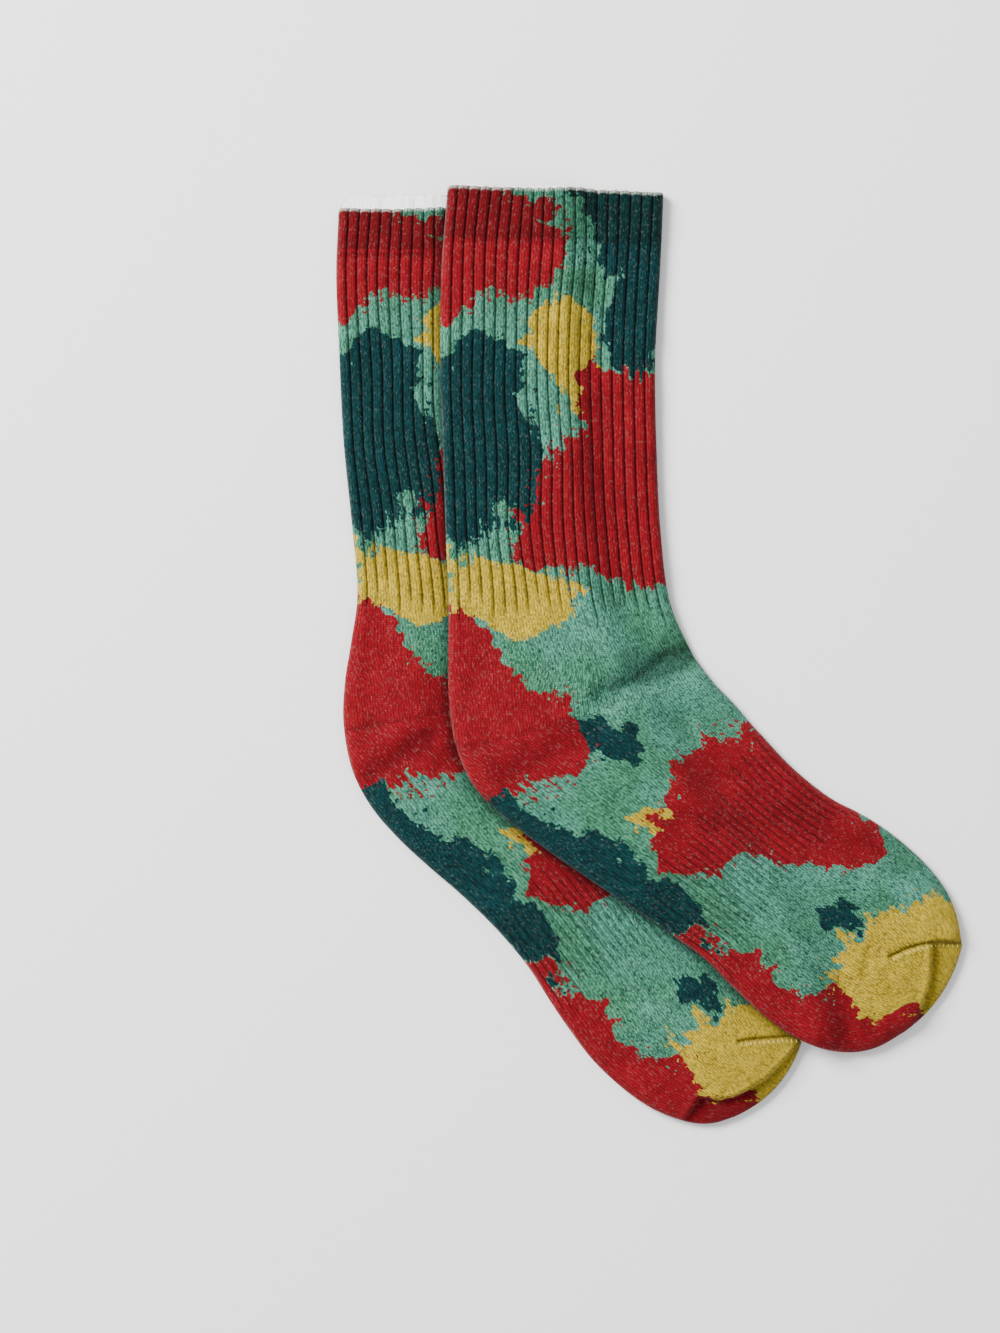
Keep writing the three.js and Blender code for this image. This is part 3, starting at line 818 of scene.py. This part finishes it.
def build_threads(name, seam, surface, material, shift, seed):
    random = np.random.default_rng(seed)
    points, faces = [], []
    for place, along in chain_places(seam, THREAD_SPACING):
        toward_toe = np.array([along[1], -along[0]])
        middle = place + shift[:2] + toward_toe * THREAD_OFFSET
        faces += thread_faces(len(points))
        points += thread_loop(middle, along, surface, random)
    mesh = bpy.data.meshes.new(name)
    mesh.from_pydata((np.array(points) * MM).tolist(), [], faces)
    mesh.polygons.foreach_set("use_smooth", np.ones(len(faces), bool))
    return new_object(name, mesh, [material])


# Materials
SHEEN_ROUGHNESS = 0.45


class Tree:
    """Short ways to add nodes to a material."""

    def __init__(self, name, roughness, specular, sheen=0.0):
        self.material = bpy.data.materials.new(name)
        self.material.use_nodes = True
        self.nodes = self.material.node_tree.nodes
        self.links = self.material.node_tree.links
        self.shader = self.nodes["Principled BSDF"]
        self.shader.inputs["Roughness"].default_value = roughness
        self.shader.inputs["Specular IOR Level"].default_value = specular
        self.shader.inputs["Sheen Weight"].default_value = sheen
        self.shader.inputs["Sheen Roughness"].default_value = SHEEN_ROUGHNESS

    def put(self, socket, value):
        if isinstance(value, bpy.types.NodeSocket):
            self.links.new(value, socket)
        elif isinstance(value, tuple) and socket.type == "RGBA":
            socket.default_value = (*value[:3], 1)
        else:
            socket.default_value = value

    def node(self, kind, inputs, **settings):
        """The outputs of a new node with those settings and inputs."""
        made = self.nodes.new(kind)
        for key, value in settings.items():
            setattr(made, key, value)
        for key, value in inputs.items():
            self.put(made.inputs[key], value)
        return made.outputs

    def math(self, operation, *values, clamp=False):
        inputs = dict(enumerate(values))
        return self.node("ShaderNodeMath", inputs, operation=operation, use_clamp=clamp)[0]

    def times(self, *values):
        product = values[0]
        for value in values[1:]:
            product = self.math("MULTIPLY", product, value)
        return product

    def line(self, value, slope, base):
        """value times slope, plus base."""
        return self.math("MULTIPLY_ADD", value, slope, base)

    def vector(self, operation, *values):
        made = self.node("ShaderNodeVectorMath", dict(enumerate(values)), operation=operation)
        return made["Value" if operation == "DOT_PRODUCT" else "Vector"]

    def scale(self, vector, factor):
        inputs = {0: vector, "Scale": factor}
        return self.node("ShaderNodeVectorMath", inputs, operation="SCALE")["Vector"]

    def mix(self, factor, a, b, blend="MIX"):
        inputs = {0: factor, 6: a, 7: b}
        return self.node("ShaderNodeMix", inputs, data_type="RGBA", blend_type=blend)[2]

    def attribute(self, name, output="Fac"):
        return self.node("ShaderNodeAttribute", {}, attribute_name=name)[output]

    def combine(self, x, y, z=0.0):
        return self.node("ShaderNodeCombineXYZ", {0: x, 1: y, 2: z})[0]

    def split(self, vector):
        return self.node("ShaderNodeSeparateXYZ", {0: vector})

    def noise(self, vector, scale, detail=2.0, roughness=0.5, output="Fac"):
        inputs = {"Vector": vector, "Scale": scale, "Detail": detail, "Roughness": roughness}
        return self.node("ShaderNodeTexNoise", inputs)[output]

    def shake(self, vector, scale, reach):
        """A smooth random offset in every direction."""
        spread = self.noise(vector, scale, 2.0, 0.55, "Color")
        return self.scale(self.vector("SUBTRACT", spread, (0.5, 0.5, 0.5)), reach)

    def random(self, vector):
        inputs = {"Vector": vector}
        return self.node("ShaderNodeTexWhiteNoise", inputs, noise_dimensions="3D")["Value"]

    def centred_random(self, vector):
        return self.math("SUBTRACT", self.random(vector), 0.5)

    def ramp(self, value, low, high):
        """0 below low, 1 above high, smooth between."""
        inputs = {"Value": value, "From Min": low, "From Max": high}
        smoothstep = {"interpolation_type": "SMOOTHSTEP"}
        return self.node("ShaderNodeMapRange", inputs, **smoothstep)["Result"]

    def patchy(self, vector, spots, detail=2.0, roughness=0.5):
        """1 in the spots of a noise, 0 elsewhere: its scale, and where it counts from and to."""
        scale, low, high = spots
        return self.ramp(self.noise(vector, scale, detail, roughness), low, high)

    def scaled(self, colour, tone):
        return self.mix(1.0, colour, self.combine(tone, tone, tone), "MULTIPLY")

    def bump(self, height, strength, distance):
        inputs = {"Strength": strength, "Distance": distance, "Height": height}
        self.put(self.shader.inputs["Normal"], self.node("ShaderNodeBump", inputs)[0])


# Dyes as linear colours.
MINT = (0.050, 0.180, 0.129)
MINT_DEEP = (0.036, 0.138, 0.077)
TEAL = (0.0014, 0.0215, 0.0234)
RED = (0.160, 0.0030, 0.0072)
OCHRE = (0.330, 0.238, 0.0180)
CORE_YARN = (0.55, 0.61, 0.54)
LOOP_WHITE = (0.97, 0.97, 0.99)
SEAM_THREAD = (0.45, 0.36, 0.11)
CUFF_TINT = (0.60, 0.70, 0.62)  # the doubled cuff is darker and a little greener

# How uneven each dye looks: from one stitch to the next, and its share of dark specks.
MINT_GRAIN = (1.0, 1.0, 0.0)
TEAL_GRAIN = (1.0, 0.3, 0.0)
RED_GRAIN = (0.5, 0.1, 0.0)
OCHRE_GRAIN = (0.8, 0.5, 0.0)
DARK_SPECK = -0.55

# Patches of dye on the reference sock: x, y, radius across, radius along y, weight.
RED_PATCHES = [
    [-72, 178, 25, 20, 1.0], [-54, 162, 19, 17, 1.0], [-84, 150, 14, 16, 0.9],
    [-2, 86, 29, 25, 1.0], [-24, 62, 25, 21, 1.0], [10, 58, 19, 23, 0.9],
    [-42, 46, 12, 13, 0.8], [-6, 38, 18, 11, 0.8], [-16, 108, 12, 10, 0.7],
    [-62, -26, 28, 20, 1.0], [-80, -8, 20, 22, 1.0], [-42, -44, 18, 15, 0.8],
    [-84, 12, 10, 12, 0.7], [-74, -50, 14, 12, 0.8],
    [44, -48, 30, 20, 1.0], [62, -62, 26, 20, 1.0], [26, -66, 22, 16, 0.9],
    [82, -80, 15, 12, 0.7], [16, -82, 14, 11, 0.8],
    [26, -128, 18, 14, 1.0], [42, -144, 20, 15, 1.0], [62, -154, 20, 14, 1.0],
    [84, -161, 18, 12, 1.0], [102, -158, 14, 9, 0.9],
]
TEAL_PATCHES = [
    [2, 174, 27, 25, 1.0], [8, 144, 19, 22, 1.0], [-16, 190, 15, 11, 0.8],
    [-8, 126, 13, 11, 0.7],
    [-78, 96, 23, 27, 1.0], [-62, 74, 19, 19, 1.0], [-88, 62, 15, 22, 1.0],
    [-62, 116, 12, 11, 0.7],
    [-22, -32, 12, 9, 1.0], [-12, -39, 8, 7, 0.8],
    [-48, -78, 26, 12, 1.0], [-22, -92, 24, 13, 1.0], [-66, -64, 16, 14, 0.9],
    [-2, -106, 17, 11, 0.9], [12, -112, 12, 8, 0.7],
    [78, -106, 11, 9, 0.9],
]
OCHRE_PATCHES = [
    [-36, 128, 13, 15, 1.0], [-28, 110, 10, 10, 0.9],
    [-58, 26, 19, 12, 1.0], [-40, 18, 11, 9, 0.8], [-74, 30, 12, 12, 0.9],
    [2, -66, 10, 9, 1.0],
    [106, -136, 24, 22, 1.2], [122, -124, 18, 20, 1.2], [96, -148, 18, 12, 1.0],
    [124, -142, 16, 16, 1.0], [92, -122, 11, 11, 0.8],
]
DYES = [
    (OCHRE_PATCHES, OCHRE, OCHRE_GRAIN),
    (TEAL_PATCHES, TEAL, TEAL_GRAIN),
    (RED_PATCHES, RED, RED_GRAIN),
]
DYE_EDGE = 0.49
DYE_SOFTNESS = 0.02
PATCH_FALL = -0.9  # how fast a patch thins out from its middle
THIN_DYE_RIM = (0.45, 0.15)  # how far the yarn's core shows: slope and base on a noise
THIN_DYE_EDGE = 0.05

# Noise that shapes the dye: its scale for each millimetre, and where it counts from and to.
FINGERS = (0.022, 0.40, 0.58)
STRAYS, STRAY_DEPTH = (0.42, 0.62, 0.68), 0.16
HOLES, HOLE_DEPTH = (0.36, 0.64, 0.70), -0.20
DEEP_GROUND = (0.03, 0.35, 0.65)
PALE_SPOTS = (0.05, 0.40, 0.62)
ELSEWHERE = [(55.0, 15.0, 0.0), (90.0, 40.0, 0.0)]  # where the noise is read instead
CLOUD_NOISE, CLOUD_TONE = 0.07, (0.7, 0.65)
WORN_NOISE = 0.35
BROAD_SHAKE, BROAD_REACH = 0.05, 34.0
FINE_SHAKE, FINE_REACH = 0.20, 9.0

# How far dye runs along the wales, in millimetres: single wales, groups of them, slow waves.
WALE_SLIDE, GROUP_SLIDE, WAVE_SLIDE = 4.5, 4.0, 11.0
WALES_IN_GROUP = 2.5
WAVE_ACROSS, WAVE_ALONG = 0.6, 0.11
LEAST_SLIDE = 0.2
STITCH_JITTER = 0.06

# Stitches: how steeply their halves lean, where a half's yarn runs, and the gap beside it.
STITCH_LEAN = 1.3
YARN_PLACE, YARN_WIDTH = 0.26, 1 / 3.9
GAP_FROM, GAP_TO = 0.30, 0.5
YARN_ACROSS, YARN_ALONG = 2.3, 1.2
FIBRE_NOISE = 1.6

# Tone of the cloth, as slope and base of a straight line.
FIBRE_TONE = (0.6, 0.70)
# Painted shade and light across each stitch's rounded yarn: darker at its low edges, lighter on
# its crest.
STITCH_TONE = (0.40, 0.70)
# Painted shade in the gaps between wales.
GAP_TONE = (-0.62, 1.04)
# Painted shade from the groove attribute darkens the cloth's colour.
PAINTED_SHADE_TONE = (-0.60, 1.0)
LOOP_TONE = (0.06, 1.18)
DEEP_FROM, DEEP_TO = 0.90, 0.94  # the share of stitches with dark specks
FLECK_FROM, FLECK_TO, FLECK = 0.80, 1.0, 0.05
FIBRE_RELIEF, SPECK_RELIEF = 0.35, 0.30
RELIEF_STRENGTH, RELIEF = 0.6, 0.30

# Offsets that give each random value of a stitch a draw of its own.
WALE_DRAW, GROUP_DRAW = 5.0, (3.0, 9.0)
JITTER_DRAW = (11.3, 7.7, 3.1)
DEEP_DRAW = (29.5, 2.9, 6.4)
FLECK_DRAW = (3.7, 19.1, 8.2)


def patch_field(t, place, patches):
    """Highest in the middle of each patch, and joined where patches meet."""
    total = 0.0
    for x, y, wide, high, weight in patches:
        off = t.vector("SUBTRACT", place, (x, y, 0.0))
        off = t.vector("MULTIPLY", off, (1.0 / wide, 1.0 / high, 0.0))
        square = t.vector("DOT_PRODUCT", off, off)
        lobe = t.math("EXPONENT", t.times(square, PATCH_FALL))
        total = t.line(lobe, weight, total)
    return total


def stitch_pattern(t, wale, course):
    """Height of the V-shaped stitches, the slanted course they lie in, and the gaps between
    wales."""
    side = t.math("ABSOLUTE", t.math("SUBTRACT", t.math("FRACT", wale), 0.5))
    lean = t.line(side, STITCH_LEAN, course)
    off = t.line(t.math("FRACT", lean), 2.0, -1.0)
    strand = t.math("SUBTRACT", 1.0, t.times(off, off))
    half = t.times(t.math("SUBTRACT", side, YARN_PLACE), 1 / YARN_WIDTH)
    half = t.math("SUBTRACT", 1.0, t.times(half, half), clamp=True)
    stitch = t.math("SQRT", t.times(strand, half))
    return stitch, lean, t.ramp(side, GAP_FROM, GAP_TO)


def wale_slide(t, place, wale, course):
    """How far each stitch's dye has run along its wale, which is little in parts."""
    column = t.combine(t.math("FLOOR", wale), 0.0, WALE_DRAW)
    group = t.combine(t.math("FLOOR", t.times(wale, 1 / WALES_IN_GROUP)), *GROUP_DRAW)
    slow = t.combine(t.times(wale, WAVE_ACROSS), t.times(course, WAVE_ALONG))
    wave = t.math("SUBTRACT", t.noise(slow, 1.0), 0.5)
    slide = t.times(t.centred_random(column), WALE_SLIDE)
    slide = t.line(t.centred_random(group), GROUP_SLIDE, slide)
    slide = t.line(wave, WAVE_SLIDE, slide)
    fingers = t.patchy(t.vector("ADD", place, ELSEWHERE[0]), FINGERS, 1.0)
    return t.times(slide, t.line(fingers, 1 - LEAST_SLIDE, LEAST_SLIDE))


def dye_spot(t, place, wale, course):
    """The place whose dye a stitch takes: broad lobes, and fingers along the wales."""
    slide = wale_slide(t, place, wale, course)
    spot = t.vector("ADD", place, t.shake(place, BROAD_SHAKE, BROAD_REACH))
    spot = t.vector("ADD", spot, t.shake(place, FINE_SHAKE, FINE_REACH))
    return t.vector("ADD", spot, t.scale(t.attribute("grain", "Vector"), slide))


def edge_jitter(t, place, cell):
    """Roughness of a patch's edge, with stray specks and holes near it."""
    jitter = t.times(t.centred_random(t.vector("ADD", cell, JITTER_DRAW)), STITCH_JITTER)
    jitter = t.line(t.patchy(place, STRAYS, 1.0), STRAY_DEPTH, jitter)
    holes = t.patchy(t.vector("ADD", place, ELSEWHERE[1]), HOLES, 1.0)
    return t.line(holes, HOLE_DEPTH, jitter)


def thin_dye(t, place, station):
    """How far the yarn's core shows along the folded edges and at the rim."""
    edge = t.times(t.attribute("thin_dye"), t.patchy(place, PALE_SPOTS), THIN_DYE_EDGE)
    worn = t.line(t.noise(place, WORN_NOISE), *THIN_DYE_RIM)
    rim = t.times(t.ramp(station, RIM_PALE_STATION, 0.0), worn)
    return t.math("MAXIMUM", rim, edge)


def dye_colour(t, place, wale, course, cell):
    """Mint ground with patches of the other dyes, and how uneven the dye is at each point."""
    spot = dye_spot(t, place, wale, course)
    jitter = edge_jitter(t, place, cell)
    ground = t.patchy(place, DEEP_GROUND, 2.0, 0.6)
    colour, grain = t.mix(ground, MINT_DEEP, MINT), MINT_GRAIN
    for patches, dye, dye_grain in DYES:
        field = t.math("ADD", patch_field(t, spot, patches), jitter)
        cover = t.ramp(field, DYE_EDGE, DYE_EDGE + DYE_SOFTNESS)
        colour, grain = t.mix(cover, colour, dye), t.mix(cover, grain, dye_grain)
    cloud = t.noise(place, CLOUD_NOISE, 3.0, 0.6)
    colour = t.scaled(colour, t.line(cloud, *CLOUD_TONE))
    station = t.attribute("station")
    cuff = t.ramp(station, WELT_STATION, WELT_STATION - WELT_STATION_FADE)
    colour = t.mix(cuff, colour, t.mix(1.0, colour, CUFF_TINT, "MULTIPLY"))
    return t.mix(thin_dye(t, place, station), colour, CORE_YARN), grain


def dyed_tone(t, cell, speck, grain):
    """Tone of single stitches, some of which are much darker in a speckled dye."""
    spread, specks, _ = t.split(grain)
    deep = t.ramp(t.random(t.vector("ADD", cell, DEEP_DRAW)), DEEP_FROM, DEEP_TO)
    deep = t.times(deep, t.times(specks, DARK_SPECK))
    return t.times(t.line(speck, spread, 1.0), t.math("ADD", deep, 1.0))


def knit_material(name, dyed):
    """Stockinette stitches, dyed on the outside and white on the inside."""
    t = Tree(name, roughness=0.95, specular=0.08, sheen=0.04)
    wale, course, _ = t.split(t.node("ShaderNodeUVMap", {}, uv_map="knit")[0])
    stitch, lean, gap = stitch_pattern(t, wale, course)
    cell = t.combine(t.math("FLOOR", t.times(wale, 2.0)), t.math("FLOOR", lean))
    speck = t.centred_random(cell)
    yarn = t.combine(t.times(wale, YARN_ACROSS), t.times(lean, YARN_ALONG))
    fibre = t.noise(yarn, FIBRE_NOISE, 3.0, 0.65)

    if dyed:
        colour, grain = dye_colour(t, t.attribute("place", "Vector"), wale, course, cell)
        tone = dyed_tone(t, cell, speck, grain)
    else:
        colour, tone = LOOP_WHITE, t.line(speck, *LOOP_TONE)
    # The stitch and gap tones paint shade across the stitches, and the groove attribute's painted
    # shade darkens grooves, creases, the seam and the lower sock beside the upper one.
    tone = t.times(tone, t.line(fibre, *FIBRE_TONE), t.line(stitch, *STITCH_TONE))
    tone = t.times(tone, t.line(gap, *GAP_TONE), t.line(t.attribute("groove"), *PAINTED_SHADE_TONE))
    colour = t.scaled(colour, tone)
    if dyed:
        chance = t.random(t.vector("ADD", cell, FLECK_DRAW))
        fleck = t.times(t.ramp(chance, FLECK_FROM, FLECK_TO), t.times(stitch, FLECK))
        colour = t.mix(fleck, colour, CORE_YARN)
    t.put(t.shader.inputs["Base Color"], colour)

    height = t.line(fibre, FIBRE_RELIEF, stitch)
    height = t.line(speck, SPECK_RELIEF, height)
    t.bump(height, RELIEF_STRENGTH, RELIEF * MM)
    return t.material


TWIST_NOISE = 2600.0
TWIST_TONE = (0.6, 0.7)
TWIST_STRENGTH, TWIST_RELIEF = 0.4, 0.08


def thread_material():
    t = Tree("seam_thread", roughness=0.8, specular=0.15, sheen=0.05)
    twist = t.noise(t.node("ShaderNodeTexCoord", {})["Object"], TWIST_NOISE)
    t.put(t.shader.inputs["Base Color"], t.scaled(SEAM_THREAD, t.line(twist, *TWIST_TONE)))
    t.bump(twist, TWIST_STRENGTH, TWIST_RELIEF * MM)
    return t.material


# The pair
upper_plan = Plan(UPPER_SECTIONS)
lower_plan = Plan(LOWER_SECTIONS)
low_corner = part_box("sock_under")[0]
lowest = lower_plan.outline.min(0)
shift = np.array([low_corner.x / MM - lowest[0], low_corner.y / MM - lowest[1], 0])


def over_lower(p):
    past = lower_plan.beyond(p) - DRAPE_OVERHANG
    return (HEIGHT + DRAPE_GAP) * (1 - smooth(past / (DRAPE_RUN - DRAPE_OVERHANG)))


def beside_upper(p):
    return smooth(upper_plan.beyond(p) / PRESS_WIDTH)


def nothing_below(p):
    return np.zeros(p.shape[:-1])


def all_free(p):
    return np.ones(p.shape[:-1])


LOWER_SETBACK, UPPER_SETBACK = 5.7, 1.0  # how far the top layer's rim lies back
LOWER_SEED, UPPER_SEED = 100, 200
under_sock = Sock(
    LOWER_SECTIONS, LOWER_FOLDS, LOWER_SEAM, LOWER_TOE_FOLD,
    LOWER_SETBACK, LOWER_SEED, nothing_below, beside_upper,
)
over_sock = Sock(
    UPPER_SECTIONS, UPPER_FOLDS, UPPER_SEAM, UPPER_TOE_FOLD,
    UPPER_SETBACK, UPPER_SEED, over_lower, all_free,
)

outside = knit_material("dyed_knit_outside", True)
inside = knit_material("dyed_knit_inside", False)
thread = thread_material()

for name, sock in (("sock_under", under_sock), ("sock_over", over_sock)):
    piece, surface = build_sock(name + "_knit", sock, upper_plan, [outside, inside], shift)
    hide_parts(name)
    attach(piece, "root")
    stitches = build_threads(name + "_toe_stitches", sock.seam, surface, thread, shift, sock.seed)
    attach(stitches, "root")


# Floor, light and camera, in metres
FLOOR_HALF = 3.0
FLOOR_DROP = 0.0002
FLOOR_PAINT = (0.82, 0.815, 0.82, 1)
ROOM_LIGHT = (0.98, 0.99, 1.0, 1)
ROOM_STRENGTH = 0.90

# Soft lights: place, size, power and colour.
KEY = ((-1.5, 1.1, 1.4), 1.0, 175, (1.0, 0.985, 0.96))
FILL = ((1.2, -1.0, 1.8), 1.4, 9, (0.96, 0.98, 1.0))


def build_floor():
    h = FLOOR_HALF
    mesh = bpy.data.meshes.new("floor")
    mesh.from_pydata([(-h, -h, 0), (h, -h, 0), (h, h, 0), (-h, h, 0)], [], [(0, 1, 2, 3)])
    t = Tree("floor_paint", roughness=0.9, specular=0.1)
    t.shader.inputs["Base Color"].default_value = FLOOR_PAINT
    floor = new_object("floor", mesh, [t.material])
    floor.location.z = -FLOOR_DROP


def light_room():
    world = bpy.data.worlds.new("studio")
    world.use_nodes = True
    background = world.node_tree.nodes["Background"]
    background.inputs["Color"].default_value = ROOM_LIGHT
    background.inputs["Strength"].default_value = ROOM_STRENGTH
    bpy.context.scene.world = world


def softbox(name, location, size, power, colour):
    light = bpy.data.lights.new(name, "AREA")
    light.shape = "SQUARE"
    light.size = size
    light.energy = power
    light.color = colour
    lamp = bpy.data.objects.new(name, light)
    lamp.location = location
    lamp.rotation_euler = (-Vector(location)).to_track_quat("-Z", "Y").to_euler()
    bpy.context.scene.collection.objects.link(lamp)


# What the camera sees of the surface, in millimetres on the plan.
VIEW_CENTRE = (-61.3, -5.1)
VIEW_HEIGHT = 546.5
LENS = 85
SENSOR = 36


def add_camera():
    camera = bpy.data.cameras.new("camera")
    camera.lens = LENS
    camera.sensor_width = SENSOR
    eye = bpy.data.objects.new("camera", camera)
    away = VIEW_HEIGHT * LENS / SENSOR
    x, y = VIEW_CENTRE[0] + shift[0], VIEW_CENTRE[1] + shift[1]
    eye.location = (x * MM, y * MM, (away + HEIGHT) * MM)
    bpy.context.scene.collection.objects.link(eye)
    bpy.context.scene.camera = eye


build_floor()
light_room()
softbox("key", *KEY)
softbox("fill", *FILL)
add_camera()
